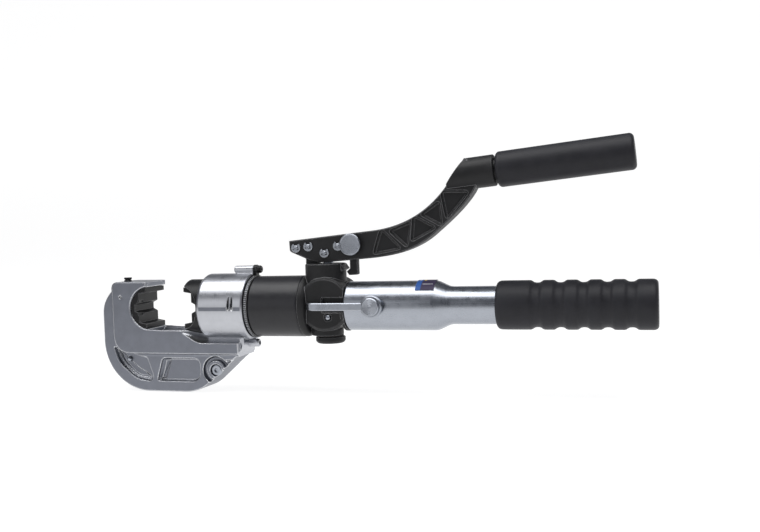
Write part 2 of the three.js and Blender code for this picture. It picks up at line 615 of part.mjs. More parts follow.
function addLever() {
  const arm = plate(leverOutline(), -LEVER_HALF, LEVER_HALF, SMALL);
  const socketWedge = outline([
    [-210, 150], [-210, 100], [-193, 103], [-181.7, 118.6], [-169.1, 136.3], [-165, 150],
  ]);
  const socket = cut(onGripAxis(rod('x', -47, -2, 14.6)), plate(socketWedge, -20, 20));
  add('lever_arm', cut(join(arm, socket), ...leverCuts()), CAST_BLACK);
  add('lever_tube', onGripAxis(tube('x', -21.5, 110, 10.9, 8.4, {}, MEDIUM)), BRIGHT_STEEL);
  const { radius, length } = LEVER_GRIP;
  add('lever_grip', onGripAxis(turned('x', [
    [0, 11.2], [0, radius - 3], [3, radius], [length - 3, radius], [length, radius - 3], [length, 0],
    [length - 6, 0], [length - 6, 11.2],
  ])), RUBBER);
}

function clipShape(pin) {
  const mouth = THREE.MathUtils.degToRad(36);
  const shape = new THREE.Shape();
  shape.absarc(pin.x, pin.z, 4.7, Math.PI / 2 + mouth, 2.5 * Math.PI - mouth);
  shape.absarc(pin.x, pin.z, 2.1, 2.5 * Math.PI - mouth, Math.PI / 2 + mouth, true);
  return shape;
}

const CLIP_FROM = -LEVER_HALF - GAP - 1;
const CLIP_TO = -LEVER_HALF - GAP;

function addLeverPins() {
  for (const [name, pin] of Object.entries(LEVER_PINS)) {
    add(name, turned('y', [
      [-11.6, 0], [-11.6, PIN_RADIUS], [CLIP_FROM - 0.1, PIN_RADIUS], [CLIP_FROM - 0.1, 1.8],
      [CLIP_TO + 0.1, 1.8], [CLIP_TO + 0.1, PIN_RADIUS], [LEVER_HALF + GAP, PIN_RADIUS],
      [LEVER_HALF + GAP, 4], [11, 4], [11, 0],
    ], pin, MEDIUM), BRIGHT_STEEL);
    add(`${name}_clip`, plate(clipShape(pin), CLIP_FROM, CLIP_TO, 6), BRIGHT_STEEL);
  }
}

// ---------------------------------------------------------------- latch that holds the lever down

function addLatch() {
  const hook = outline([
    [-284.8, 57, 2], [-284.8, 36.3], [-288.2, 33.4, 0.6], [-285.8, 29.8, 1], [-276.6, 30.2, 1.5],
    [-276.8, 57, 2], [-277, 63.5, 2.5], [-284.6, 63.5, 2.5],
  ]);
  const hookHole = rod('y', -8, 8, 3.3, LATCH, SMALL);
  add('latch_hook', cut(plate(hook, -4.4, 1.4), hookHole), CAST_BLACK);
  add('latch_knob', turned('y', [
    [-15, 0], [-15, 9.9], [-14.4, 10.5], [-12, 10.5], [-12, 2.9], [LEVER_HALF + GAP, 2.9],
    [LEVER_HALF + GAP, 2.2], [10.6, 2.2], [10.6, 2.9], [11.6, 2.9], [11.6, 0],
  ], LATCH), BRIGHT_STEEL);
  add('latch_spring', spring('y', 1.8, 4.7, 4.4, 0.4, 2, LATCH.x, 0, LATCH.z), SPRING_STEEL);
}

addHead();
addDieRelease();
addDies();
addSwivelRing();
addRam();
addCylinder();
addPump();
addValves();
addPlunger();
addHandle();
addGrip();
addRelease();
addLever();
addLeverPins();
addLatch();

export default tool;
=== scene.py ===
"""The looks of a hydraulic hand crimping tool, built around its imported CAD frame.

Shapes are written in millimetres, in the part's own frame: +X runs along the tool's axis and out
of the rear of the handle, +Z is up and -Y is the side with the release lever. Meshes are stored
in metres.
"""

import json
import math

import bmesh
import bpy
from mathutils import Matrix, Vector


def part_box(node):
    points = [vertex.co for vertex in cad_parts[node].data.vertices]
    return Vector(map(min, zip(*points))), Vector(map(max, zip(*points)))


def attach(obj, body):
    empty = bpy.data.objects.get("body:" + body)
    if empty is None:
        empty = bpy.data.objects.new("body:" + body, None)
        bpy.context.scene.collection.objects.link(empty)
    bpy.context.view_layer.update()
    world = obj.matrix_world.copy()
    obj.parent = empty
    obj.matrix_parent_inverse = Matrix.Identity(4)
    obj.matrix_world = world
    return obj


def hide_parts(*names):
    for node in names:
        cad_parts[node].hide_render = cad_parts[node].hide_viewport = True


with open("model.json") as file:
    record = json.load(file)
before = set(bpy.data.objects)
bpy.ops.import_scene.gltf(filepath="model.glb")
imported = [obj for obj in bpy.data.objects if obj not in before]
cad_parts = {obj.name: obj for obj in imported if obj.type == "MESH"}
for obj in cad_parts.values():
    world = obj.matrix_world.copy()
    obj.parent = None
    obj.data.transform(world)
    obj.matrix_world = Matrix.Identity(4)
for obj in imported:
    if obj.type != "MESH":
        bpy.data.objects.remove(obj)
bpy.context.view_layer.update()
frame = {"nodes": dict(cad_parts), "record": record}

MM = 0.001
ROUND = 112  # sides of a large turned piece
FINE = 48  # sides of a small one
REACH = 60  # how far a cutter runs past what it cuts


# ---------------------------------------------------------------- outlines, in one plane


def rounded(corners, closed=True, steps=4):
    """An outline through corners [u, v, setback], each rounded by a curve that starts that far off."""
    path = []
    last = len(corners) - 1
    for i, (u, v, *rest) in enumerate(corners):
        here = Vector((u, v))
        if not (rest and rest[0]) or (not closed and i in (0, last)):
            path.append(here)
            continue
        start, end = (
            here + (there - here).normalized() * min(rest[0], (there - here).length * 0.49)
            for there in (Vector(corners[i - 1][:2]), Vector(corners[(i + 1) % len(corners)][:2]))
        )
        for step in range(steps + 1):
            t = step / steps
            path.append(start * (1 - t) ** 2 + here * 2 * t * (1 - t) + end * t * t)
    return path


def arc(u, v, radius, start, end, steps=24):
    """Points on a circle about (u, v), from one angle to another in degrees."""
    angles = [math.radians(start + (end - start) * i / steps) for i in range(steps + 1)]
    return [Vector((u + radius * math.cos(a), v + radius * math.sin(a))) for a in angles]


def bend(start, control, end, steps=16):
    """Points on a quadratic curve, without its start."""
    a, b, c = Vector(start), Vector(control), Vector(end)
    times = [(i + 1) / steps for i in range(steps)]
    return [a * (1 - t) ** 2 + b * 2 * t * (1 - t) + c * t * t for t in times]


def offset(path, distance):
    """The closed outline moved outwards by a distance, or inwards if it is negative."""
    count = len(path)
    area = sum(path[i - 1].cross(path[i]) for i in range(count))
    side = math.copysign(1, area)
    moved = []
    for i, here in enumerate(path):
        legs = (here - path[i - 1]).normalized(), (path[(i + 1) % count] - here).normalized()
        first, second = (Vector((leg.y, -leg.x)) * side for leg in legs)
        moved.append(here + (first + second) * distance / max(0.3, 1 + first.dot(second)))
    return moved


# ---------------------------------------------------------------- solids

PLACES = {
    "x": lambda u, v, w: (w, u, v),
    "y": lambda u, v, w: (u, w, v),
    "z": lambda u, v, w: (u, v, w),
}


def mesh_object(name, work):
    """Turns a bmesh in millimetres into an object in metres, with its faces pointing outwards."""
    bmesh.ops.recalc_face_normals(work, faces=work.faces)
    bmesh.ops.scale(work, vec=(MM, MM, MM), verts=work.verts)
    mesh = bpy.data.meshes.new(name)
    work.to_mesh(mesh)
    work.free()
    piece = bpy.data.objects.new(name, mesh)
    bpy.context.scene.collection.objects.link(piece)
    return piece


def loft(axis, rings):
    """A closed solid through rings (station, outline) along an axis."""
    work = bmesh.new()
    place = PLACES[axis]
    loops = [[work.verts.new(place(u, v, station)) for u, v in path] for station, path in rings]
    for near, far in zip(loops, loops[1:]):
        for i in range(len(near)):
            work.faces.new((near[i - 1], near[i], far[i], far[i - 1]))
    work.faces.new(loops[0])
    work.faces.new(loops[-1])
    return mesh_object("loft", work)


def plate(path, low, high, chamfer=0.6):
    """A flat plate in the XZ plane from Y low to Y high, with chamfered edges."""
    inner = offset(path, -chamfer)
    return loft("y", [(low, inner), (low + chamfer, path), (high - chamfer, path), (high, inner)])


def lathe(axis, profile, centre=(0, 0, 0), fillet=0.4, sides=ROUND):
    """A turned solid: profile holds [distance along the axis, radius, own fillet or none]."""
    place = PLACES[axis]
    corners = [(along, radius, *(rest or [fillet])) for along, radius, *rest in profile]
    closed = profile[0][1] > 0
    path = rounded(corners, closed, steps=3)
    work = bmesh.new()
    loops = []
    for along, radius in path:
        if radius <= 0:
            loops.append([work.verts.new(Vector(place(0, 0, along)) + Vector(centre))] * sides)
            continue
        circle = arc(0, 0, radius, 0, 360, sides)[:-1]
        loops.append([work.verts.new(Vector(place(u, v, along)) + Vector(centre)) for u, v in circle])
    pairs = list(zip(loops, loops[1:])) + ([(loops[-1], loops[0])] if closed else [])
    for near, far in pairs:
        for i in range(sides):
            corner = dict.fromkeys((near[i - 1], near[i], far[i], far[i - 1]))
            if len(corner) > 2:
                work.faces.new(corner)
    return mesh_object("lathe", work)


def rod(axis, low, high, radius, centre=(0, 0, 0), fillet=0.0, sides=FINE):
    return lathe(axis, [[low, 0], [low, radius], [high, radius], [high, 0]], centre, fillet, sides)


def hexagon(axis, low, high, across, centre=(0, 0, 0)):
    return rod(axis, low, high, across / math.sqrt(3), centre, 0, 6)


def block(low, high):
    """A box between two corners, used as a cutter."""
    work = bmesh.new()
    size = Vector(high) - Vector(low)
    middle = Matrix.Translation((Vector(high) + Vector(low)) / 2)
    bmesh.ops.create_cube(work, size=1, matrix=middle @ Matrix.Diagonal((*size, 1)))
    return mesh_object("block", work)


def combine(operation, piece, others):
    """Joins the others to the piece, or cuts them out of it, and removes them."""
    for other in others:
        step = piece.modifiers.new("combine", "BOOLEAN")
        step.operation = operation
        step.solver = "MANIFOLD"
        step.object = other
    bpy.context.view_layer.update()
    done = piece.evaluated_get(bpy.context.evaluated_depsgraph_get())
    mesh = bpy.data.meshes.new_from_object(done)
    piece.modifiers.clear()
    piece.data = mesh
    for other in others:
        bpy.data.objects.remove(other)
    return piece


def fuse(piece, *others):
    return combine("UNION", piece, others)


def cut(piece, *others):
    return combine("DIFFERENCE", piece, others)


def span(node):
    """The lowest and highest corners of a CAD node, in millimetres."""
    return tuple(Vector(corner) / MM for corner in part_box(node))


def centre_of(node):
    """The middle of a CAD node's box, in millimetres."""
    low, high = span(node)
    return (low + high) / 2


def finish(piece, name, body, nodes, materials, sharp=28, pick=None):
    """Names, shades, colours and places a piece. Pick gives a face's material by its centre in mm."""
    piece.name = name
    piece.data.name = name
    piece.data.materials.clear()
    for material in materials:
        piece.data.materials.append(material)
    piece.data.polygons.foreach_set("material_index", [0] * len(piece.data.polygons))
    if pick:
        for face in piece.data.polygons:
            face.material_index = pick(face.center / MM, face.normal)
    piece.data.shade_smooth()
    piece.data.set_sharp_from_angle(angle=math.radians(sharp))
    weights = piece.modifiers.new("normals", "WEIGHTED_NORMAL")
    weights.keep_sharp = True
    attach(piece, body)
    if nodes:
        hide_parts(*nodes)
    return piece


# ---------------------------------------------------------------- finishes


class Finish:
    """A procedural material, built node by node around one Principled shader."""

    def __init__(self, name, **sockets):
        self.material = bpy.data.materials.new(name)
        self.material.use_nodes = True
        self.tree = self.material.node_tree
        self.shader = self.tree.nodes["Principled BSDF"]
        self.place = self.node("ShaderNodeTexCoord").outputs["Object"]
        for socket, value in sockets.items():
            self.shader.inputs[socket.replace("_", " ")].default_value = value

    def node(self, kind, inputs=None, **settings):
        made = self.tree.nodes.new(kind)
        for key, value in settings.items():
            setattr(made, key, value)
        for key, value in (inputs or {}).items():
            if isinstance(value, bpy.types.NodeSocket):
                self.tree.links.new(value, made.inputs[key])
            else:
                made.inputs[key].default_value = value
        return made

    def noise(self, size, detail=3, stretch=(1, 1, 1)):
        """Noise with grains about size millimetres across, drawn out by stretch along each axis."""
        scale = [1 / (size * MM * times) for times in stretch]
        spot = self.node("ShaderNodeMapping", {"Vector": self.place, "Scale": scale})
        inputs = {"Vector": spot.outputs[0], "Scale": 1, "Detail": detail}
        return self.node("ShaderNodeTexNoise", inputs).outputs[0]

    def spread(self, value, low, high, start=0.32, end=0.68):
        """Maps a value between start and end to one between low and high."""
        limits = {"From Min": start, "From Max": end, "To Min": low, "To Max": high}
        return self.node("ShaderNodeMapRange", {"Value": value, **limits}).outputs[0]

    def mix(self, share, first, second):
        inputs = {0: share, 6: first, 7: second}
        return self.node("ShaderNodeMix", inputs, data_type="RGBA").outputs[2]

    def sum(self, *values):
        total = values[0]
        for value in values[1:]:
            total = self.node("ShaderNodeMath", {0: total, 1: value}, operation="ADD").outputs[0]
        return total

    def edges(self, radius, strength):
        """The normal with its edges rounded, and a mask that paints convex and concave edges lighter: partly
        real rubbing of the metal, mostly a painted highlight where edges catch the light.
        """
        soft = self.node("ShaderNodeBevel", {"Radius": radius * MM}, samples=6).outputs[0]
        flat = self.node("ShaderNodeNewGeometry").outputs["Normal"]
        along = self.node("ShaderNodeVectorMath", {0: soft, 1: flat}, operation="DOT_PRODUCT")
        return soft, self.spread(along.outputs["Value"], strength, 0, 0.9, 0.997)

    def bump(self, height, depth, normal):
        """Bump of a depth in millimetres on top of a normal."""
        inputs = {"Height": height, "Distance": depth * MM, "Strength": 1, "Normal": normal}
        return self.node("ShaderNodeBump", inputs).outputs[0]

    def wire(self, color, roughness, normal):
        for socket, value in {"Base Color": color, "Roughness": roughness, "Normal": normal}.items():
            self.tree.links.new(value, self.shader.inputs[socket])
        return self.material


def shade(color, factor):
    return (*(min(1, channel * factor) for channel in color), 1)


def surface(
    name, color, rough, grain, depth, vary=0.12, stretch=(1, 1, 1), lines=0.0,
    edge=(0.8, 0.82, 0.86), edge_wear_and_highlight=0.6, edge_radius=0.35, patch=9, **sockets
):
    """A finish with mottled colour, a fine grain or brushed lines, and edges painted in a lighter edge
    colour, partly real rubbing and partly a painted highlight.

    Grain is the size of the grain and depth its height, both in millimetres. Stretch draws the
    grain out into lines, and lines says how much they show in the colour.
    """
    made = Finish(name, **sockets)
    patches = made.noise(patch, 4)
    fine = made.noise(grain, 2, stretch)
    mottled = made.mix(made.spread(patches, 0, 1), shade(color, 1 - vary), shade(color, 1 + vary))
    streaked = made.mix(made.spread(fine, 0, lines), mottled, shade(color, 1.7))
    normal, wear_and_highlight_mask = made.edges(edge_radius, edge_wear_and_highlight)
    # Painted edge highlight, partly real rubbing: the edge mask mixes the colour towards the lighter edge
    # colour on convex and concave edges.
    base = made.mix(wear_and_highlight_mask, streaked, (*edge, 1))
    roughness = made.sum(
        made.spread(patches, rough * 0.9, rough * 1.1),
        made.spread(fine, -0.05, 0.05),
        made.spread(wear_and_highlight_mask, 0, -0.08, 0, 1),
    )
    return made.wire(base, roughness, made.bump(fine, depth, normal))


AROUND_X = (1, 300, 300)  # lines that run round the tool's axis, as a lathe leaves them
ALONG_X = (300, 1, 1)  # lines that run along it, as a brush leaves them

# Each finish's edge colour is painted along its edges: a painted highlight standing in for edges catching the
# light, partly real rubbing. The head's near-white edges are mostly painted highlight.
SATIN_STEEL = surface(
    "satin_steel", (0.20, 0.21, 0.24), 0.40, 0.22, 0.006, 0.07, lines=0.08, edge=(0.95, 0.96, 0.98),
    edge_wear_and_highlight=1.0, edge_radius=1.4, Metallic=1.0,
)
TURNED_STEEL = surface(
    "turned_steel", (0.47, 0.48, 0.51), 0.33, 0.3, 0.0015, 0.05, AROUND_X, 0.08, Metallic=1.0, edge_wear_and_highlight=0.9
)
BLACK_OXIDE = surface(
    "black_oxide", (0.009, 0.009, 0.010), 0.36, 0.3, 0.010, 0.2, edge=(0.26, 0.26, 0.27), edge_wear_and_highlight=0.8,
    edge_radius=0.7, Specular_IOR_Level=0.25,
)
SATIN_BLACK = surface(
    "satin_black", (0.016, 0.016, 0.019), 0.38, 0.3, 0.004, 0.15, AROUND_X, 0.1,
    edge=(0.13, 0.13, 0.14), edge_wear_and_highlight=0.5, Specular_IOR_Level=0.4,
)
# The light-grey edge colour paints highlight lines along the drum's rim and the lever's pocket edges.
CAST_BLACK = surface(
    "cast_black", (0.013, 0.013, 0.014), 0.5, 0.55, 0.04, 0.2, edge=(0.30, 0.30, 0.31), edge_wear_and_highlight=0.9,
    edge_radius=0.9, Specular_IOR_Level=0.3,
)
BRIGHT_STEEL = surface(
    "bright_steel", (0.35, 0.37, 0.41), 0.30, 0.3, 0.002, 0.06, lines=0.08, edge=(0.9, 0.9, 0.92),
    edge_wear_and_highlight=0.9, Metallic=1.0,
)
SPRING_STEEL = surface("spring_steel", (0.45, 0.46, 0.48), 0.35, 0.3, 0.01, Metallic=1.0)
ALUMINIUM = surface(
    "brushed_aluminium", (0.36, 0.38, 0.42), 0.29, 0.2, 0.0015, 0.04, ALONG_X, 0.06,
    edge=(0.9, 0.9, 0.92), edge_wear_and_highlight=0.5, Metallic=1.0,
)
RUBBER = surface(
    "moulded_rubber", (0.022, 0.022, 0.026), 0.5, 0.35, 0.03, 0.15, edge=(0.03, 0.03, 0.034),
    edge_wear_and_highlight=0.4, patch=16, Specular_IOR_Level=0.22,
)
SEAL_RUBBER = surface("seal_rubber", (0.03, 0.027, 0.025), 0.7, 0.5, 0.03, edge=(0.06, 0.06, 0.06))
BRASS = surface("turned_brass", (0.62, 0.46, 0.18), 0.3, 0.2, 0.008, Metallic=1.0)

SLOT_FINISHES = {
    "head_steel": SATIN_STEEL,
    "black_oxide": BLACK_OXIDE,
    "bright_steel": BRIGHT_STEEL,
    "spring_steel": SPRING_STEEL,
    "seal_rubber": SEAL_RUBBER,
    "cylinder_black": SATIN_BLACK,
    "cast_black": CAST_BLACK,
    "brass": BRASS,
    "tube_aluminium": ALUMINIUM,
    "grip_rubber": RUBBER,
}


# ---------------------------------------------------------------- head

HEAD_LOW, HEAD_HIGH = span("c_head")
HALF = HEAD_HIGH.y * 20 / 33.2  # half the thickness of the jaw, set by the barrel's radius
RIM_HALF = 17
BARREL_RADIUS = HEAD_HIGH.y
BARREL_REAR = -387.4
BORE_RADIUS = 28.1
BARREL_FRONT = -437
JAW_TIP = -499.5
JAW_FRONT = -538.8
BAR_BOTTOM = -46.3  # lower edge of the thick bar that runs under the throat
LEDGE_Y, LEDGE_Z = 22, -23.5  # axis of the hollow along the foot of the barrel, on each side
LEDGE_RADIUS = 12
SEAT_X = (span("fixed_die")[0].x + 21.4, span("moving_die")[1].x - 21.4)
SEAT_RADIUS = 21.7
BUTTON_X = centre_of("die_button").x
CROSS_PIN = centre_of("button_cross_pin")
WEB_SCREW = centre_of("web_screw")
WEB_PIN = centre_of("web_pin")
BOSS_Z = centre_of("ring_screw").z


def jaw_path(grow):
    """Outline of the jaw and the bar under the throat, grown only at the left and at the bottom."""
    left = JAW_FRONT - grow
    bottom = BAR_BOTTOM - grow
    return rounded(
        [
            [JAW_TIP, 26.5],
            [left, 26.8, 8],
            [left, bottom, 20],
            [-399, bottom],
            [-399, -22.5],
            [-487.5, -22.5, 6],
            [JAW_TIP, -21],
        ],
        steps=10,
    )


def jaw():
    """The thick jaw, which flares out in a small cove where it meets the rim."""
    cove = [(HALF, -0.5), (HALF - 0.5, 0), (RIM_HALF + 1.6, 0.2), (RIM_HALF + 0.5, 1), (RIM_HALF, 2.4)]
    rings = [(-station, grow) for station, grow in cove] + cove[::-1]

    def outline(grow):
        return offset(jaw_path(0), grow) if grow < 0 else jaw_path(grow)

    return loft("y", [(station, outline(grow)) for station, grow in rings])


def rim():
    low = HEAD_LOW.z
    left = HEAD_LOW.x
    path = [Vector((-538, 20))]
    path += bend((-538, 20), (left, 9), (left, -6), 12)
    path += arc(left + 51, low + 51, 51, 180, 270, 32)
    path += [Vector((-460, low))]
    path += bend((-460, low), (-444, low), (-433, -75.5), 10)
    path += rounded([[-399, -46, 2], [-394, -38, 3], [-394, -30], [-530, -30], [-530, 20]], False)
    return plate(path, -RIM_HALF, RIM_HALF, 0.6)


def both_sides(rings):
    """The same cutter on the near and on the far side of the head or lever."""
    return [loft("y", rings), loft("y", [(-station, path) for station, path in rings])]


def pocket(corners, face, depth, flare=0.5, draft=0.6, steps=6):
    """Cutters for a flat pocket on both faces, with a flared mouth and a rounded floor edge."""
    path = rounded(corners, steps=steps)
    floor = face - depth
    return both_sides(
        [
            (-face - 2, offset(path, flare + 2)),
            (-face, offset(path, flare)),
            (-face + flare, path),
            (-floor - 0.7, offset(path, -draft)),
            (-floor, offset(path, -draft - 0.9)),
        ]
    )


def head_pockets():
    """The two long pockets in the rim with their deeper inner steps, and two small ones."""
    front = [
        [-541, -40, 2], [-503, -50.6, 2], [-496, -71, 3], [-500, -75, 2], [-516, -72.5, 6], [-535, -57, 6],
    ]
    groove = [
        [-538, -42, 1], [-533.5, -45, 1], [-519, -58.6, 8], [-501, -69.3, 1.5], [-500, -72, 1.5],
        [-516, -70, 6], [-532, -56, 6],
    ]
    rear = [[-485, -51, 4], [-443, -51, 8], [-443, -74.5, 10], [-492, -74.5, 4]]
    slope = [[-484, -52.5, 1.5], [-477, -52.5, 1.5], [-483.5, -72, 1.5], [-490, -72.5, 1.5]]
    screw_side = [[-415.4, -52.6, 0.8], [-406, -51.8, 0.8], [-414.8, -60, 0.8]]
    barrel_side = [[-397.6, -34.6, 1], [-395.4, -37, 1], [-397.2, -42.4, 1]]
    return (
        pocket(front, RIM_HALF, 4.4)
        + pocket(groove, RIM_HALF - 4.2, 1.6, 0.3, 0.3)
        + pocket(rear, RIM_HALF, 4.4)
        + pocket(slope, RIM_HALF - 4.2, 1.6, 0.3, 0.3)
        + pocket(screw_side, RIM_HALF, 2.4, 0.4, 0.3)
        + pocket(barrel_side, RIM_HALF, 2.4, 0.3, 0.2)
    )


def screw_boss():
    """A round boss round the web screw, with a stepped recess that breaks out at the lower left."""
    centre = (WEB_SCREW.x, 0, WEB_SCREW.z)
    return [
        lathe(
            "y",
            [[-19, 9.4], [-19, 14.6], [-17, 14.2], [-13, 13.2, 1], [-13, 10.4, 1], [-16.4, 9.9], [-17, 9.4]],
            centre, 0,
        ),
        lathe("y", [[-18, 0], [-18, 7.4], [-16.4, 6.2], [-11.7, 6.2], [-11.7, 0]], centre, 0),
    ]


def ledge():
    """The hollow that runs along the foot of the barrel on both sides."""
    profile = [[-464, 0], [-452, 7, 4], [-442, LEDGE_RADIUS, 4], [-398, LEDGE_RADIUS], [-398, 0]]
    return [lathe("x", profile, (0, side * LEDGE_Y, LEDGE_Z), 0, 64) for side in (-1, 1)]


def head_bores():
    seat, _ = SEAT_X
    rim_of_seat = [
        [-REACH, 0], [-REACH, SEAT_RADIUS + 40], [-HALF - 0.1, SEAT_RADIUS + 0.9],
        [-HALF + 0.7, SEAT_RADIUS], [HALF - 0.7, SEAT_RADIUS], [HALF + 0.1, SEAT_RADIUS + 0.9],
        [REACH, SEAT_RADIUS + 40], [REACH, 0],
    ]
    throat = block((JAW_TIP + 0.1, -REACH, -21), (-470, REACH, 21))
    front = JAW_TIP - 0.1
    ram_way = [[front, 0], [front, BORE_RADIUS], [-386, BORE_RADIUS], [-386, 0]]
    button = [[-15, 0], [-15, 3.8], [22, 3.8], [22, 4.4], [26.2, 4.4], [28, 6.2], [28, 0]]
    cross = [[-21, 0], [-21, 2.4], [-19.2, 1.25], [19.2, 1.25], [21, 2.4], [21, 0]]
    return [
        lathe("y", rim_of_seat, (seat, 0, 0), 0),
        throat,
        lathe("x", ram_way, fillet=0),
        lathe("z", button, (BUTTON_X, 0, 0), 0, FINE),
        lathe("y", cross, (CROSS_PIN.x, 0, CROSS_PIN.z), 0, 24),
        rod("x", -531, -517, 2.2),
        rod("y", -18, -3, 2.7, (WEB_PIN.x, 0, WEB_PIN.z)),
        rod("x", -402, -386, 2.2, (0, 0, BOSS_Z)),
        rod("x", -396, -383, 2.2, (0, 0, -BOSS_Z)),
    ]


def barrel():
    profile = [
        [BARREL_FRONT, 0], [BARREL_FRONT, BARREL_RADIUS - 1.6], [BARREL_FRONT + 2.2, BARREL_RADIUS, 1.2],
        [BARREL_REAR - 1, BARREL_RADIUS, 0.6], [BARREL_REAR, BARREL_RADIUS - 1.2], [BARREL_REAR, 0],
    ]
    return lathe("x", profile)


def barrel_marks():
    """Cutter for the two short, very shallow grooves in the near side of the barrel."""
    profile = [
        [-403.4, 0], [-403.4, 27.1], [-401.6, 27.34], [-400, 27.1], [-399.8, 27.1], [-398.2, 27.34],
        [-396.4, 27.1], [-396.4, 0],
    ]
    return lathe("x", profile, (0, -5.9, 1), 0)


def screw_bosses():
    top = [[-408, 0], [-408, 2.8], [-406.8, 3.8], [BARREL_REAR, 3.8], [BARREL_REAR, 0]]
    foot = [[-401, 0], [-401, 4], [-384.8, 4], [-384, 3.2], [-384, 0]]
    web = [[-4.2, 31], [-2.9, 35.4], [2.9, 35.4], [4.2, 31]]
    return [
        lathe("x", top, (0, 0, BOSS_Z), 0.4, FINE),
        lathe("x", foot, (0, 0, -BOSS_Z), 0.4, FINE),
        loft("x", [(-405, rounded(web)), (BARREL_REAR, rounded(web))]),
    ]


def c_head():
    body = fuse(jaw(), rim())
    body = cut(body, *ledge())
    body = fuse(body, barrel(), *screw_bosses())
    body = cut(body, *head_pockets(), *screw_boss(), *head_bores(), barrel_marks())

    def turned_face(centre, normal):
        from_axis = math.hypot(centre.y, centre.z)
        on_barrel = centre.x > BARREL_FRONT - 1 and from_axis > BARREL_RADIUS - 2 and abs(normal.y) > 0.02
        on_boss = centre.x > -409 and abs(centre.z) > 33.4
        from_ledge = math.hypot(abs(centre.y) - LEDGE_Y, centre.z - LEDGE_Z)
        on_ledge = -468 < centre.x < -398 and from_ledge < LEDGE_RADIUS + 0.2
        skin = on_barrel and centre.z > -33.1 and abs(normal.y) < 0.999
        return 1 if skin or on_boss or on_ledge else 0

    return finish(body, "head_frame", "head", ["c_head"], [SATIN_STEEL, TURNED_STEEL], pick=turned_face)


def head_fasteners():
    screw = lathe(
        "y",
        [[-15.6, 0], [-15.6, 4.7], [-14.9, 5.6], [-12.3, 5.6], [-12.3, 3], [11, 3], [11, 0]],
        (WEB_SCREW.x, 0, WEB_SCREW.z), 0.3, FINE,
    )
    cut(screw, hexagon("y", -17, -13.4, 5, (WEB_SCREW.x, 0, WEB_SCREW.z)))
    finish(screw, "web_socket_screw", "head", ["web_screw"], [BRIGHT_STEEL])
    pin = lathe(
        "y", [[-16, 0], [-15.7, 1.4], [-14.8, 2.4], [-3.4, 2.4], [-3.4, 0]],
        (WEB_PIN.x, 0, WEB_PIN.z), 0.3, FINE,
    )
    finish(pin, "web_dowel", "head", ["web_pin"], [BRIGHT_STEEL])
    cap = lathe(
        "x",
        [[-400, 0], [-400, 1.9], [-383, 1.9], [-383, 3.8], [-380, 3.8, 0.6], [-379, 3], [-379, 0]],
        (0, 0, BOSS_Z), 0.25, FINE,
    )
    cut(cap, hexagon("x", -381, -378, 3, (0, 0, BOSS_Z)))
    finish(cap, "ring_socket_screw", "head", ["ring_screw"], [BLACK_OXIDE])
    grub = rod("x", -395, -385, 1.9, (0, 0, -BOSS_Z), 0.3)
    cut(grub, hexagon("x", -387, -384, 1.9, (0, 0, -BOSS_Z)))
    finish(grub, "lug_grub_screw", "head", ["lug_screw"], [BLACK_OXIDE])


def die_button():
    stem = [
        [-4, 0], [-4, 1.6], [4, 1.6], [6, 3.5], [9.9, 3.5], [9.9, 1.1], [15.4, 1.1], [15.4, 3.5],
        [26, 3.5], [26, 4], [27.6, 4], [27.9, 3.1], [28.5, 3.1], [28.8, 4], [30.5, 4], [30.5, 0],
    ]
    button = lathe("z", stem, (BUTTON_X, 0, 0), 0.25, FINE)
    finish(button, "die_release_button", "die_button", ["die_button"], [BLACK_OXIDE])


# ---------------------------------------------------------------- dies and ram

DIE_HALF = span("fixed_die")[1].y
DIE_RADIUS = 21.4
RELIEF_RADIUS = 14.4  # the fixed die's mouth has a round counterbore in its near face
RELIEF_DEPTH = 8.8


def die_path(centre, side):
    """Outline of a U-shaped die. Side is 1 for the fixed die and -1 for the moving one."""
    inner = [(3.9, 16), (12, 14.6), (12, 5.6), (16.8, 3)]
    half_angle = math.degrees(math.asin(20.6 / DIE_RADIUS))
    back = arc(0, 0, DIE_RADIUS, 180 - half_angle, 180 + half_angle, 48)
    path = [Vector((-3.9, 20.6)), *back, Vector((-3.9, -20.6))]
    path += [Vector((-depth, -z)) for depth, z in inner]
    path += [Vector((-depth, z)) for depth, z in reversed(inner)]
    return [Vector((centre + side * u, v)) for u, v in path]


def dies():
    relief = [
        [-REACH, 0], [-REACH, RELIEF_RADIUS + 1], [-DIE_HALF, RELIEF_RADIUS + 0.8],
        [-DIE_HALF + 0.8, RELIEF_RADIUS], [-DIE_HALF + RELIEF_DEPTH, RELIEF_RADIUS],
        [-DIE_HALF + RELIEF_DEPTH, 0],
    ]
    fixed = plate(die_path(SEAT_X[0], 1), -DIE_HALF, DIE_HALF, 0.5)
    cut(fixed, lathe("y", relief, (SEAT_X[0], 0, 0), 0), rod("x", -519, -515.8, 2.2))
    finish(fixed, "fixed_die_half", "head", ["fixed_die"], [BLACK_OXIDE])
    moving = plate(die_path(SEAT_X[1], -1), -DIE_HALF, DIE_HALF, 0.5)
    finish(moving, "moving_die_half", "ram", ["moving_die"], [BLACK_OXIDE])


def ram():
    front = span("ram")[0].x
    body = lathe("x", [
        [front, 0], [front, 26.5], [front + 1.4, 27.7], [-425, 27.7], [-425, 22.6], [-354, 22.6],
        [-354, 20], [-350, 20], [-350, 22.6], [-345, 22.6], [-345, 14.5], [-412, 14.5], [-412, 0],
    ], fillet=0.5)
    seat = [[-30, 0], [-30, SEAT_RADIUS], [30, SEAT_RADIUS], [30, 0]]
    cut(body, lathe("y", seat, (SEAT_X[1], 0, 0), 0))
    return finish(body, "ram_body", "ram", ["ram"], [BLACK_OXIDE])


# ---------------------------------------------------------------- swivel ring and cylinder

TEETH = 96


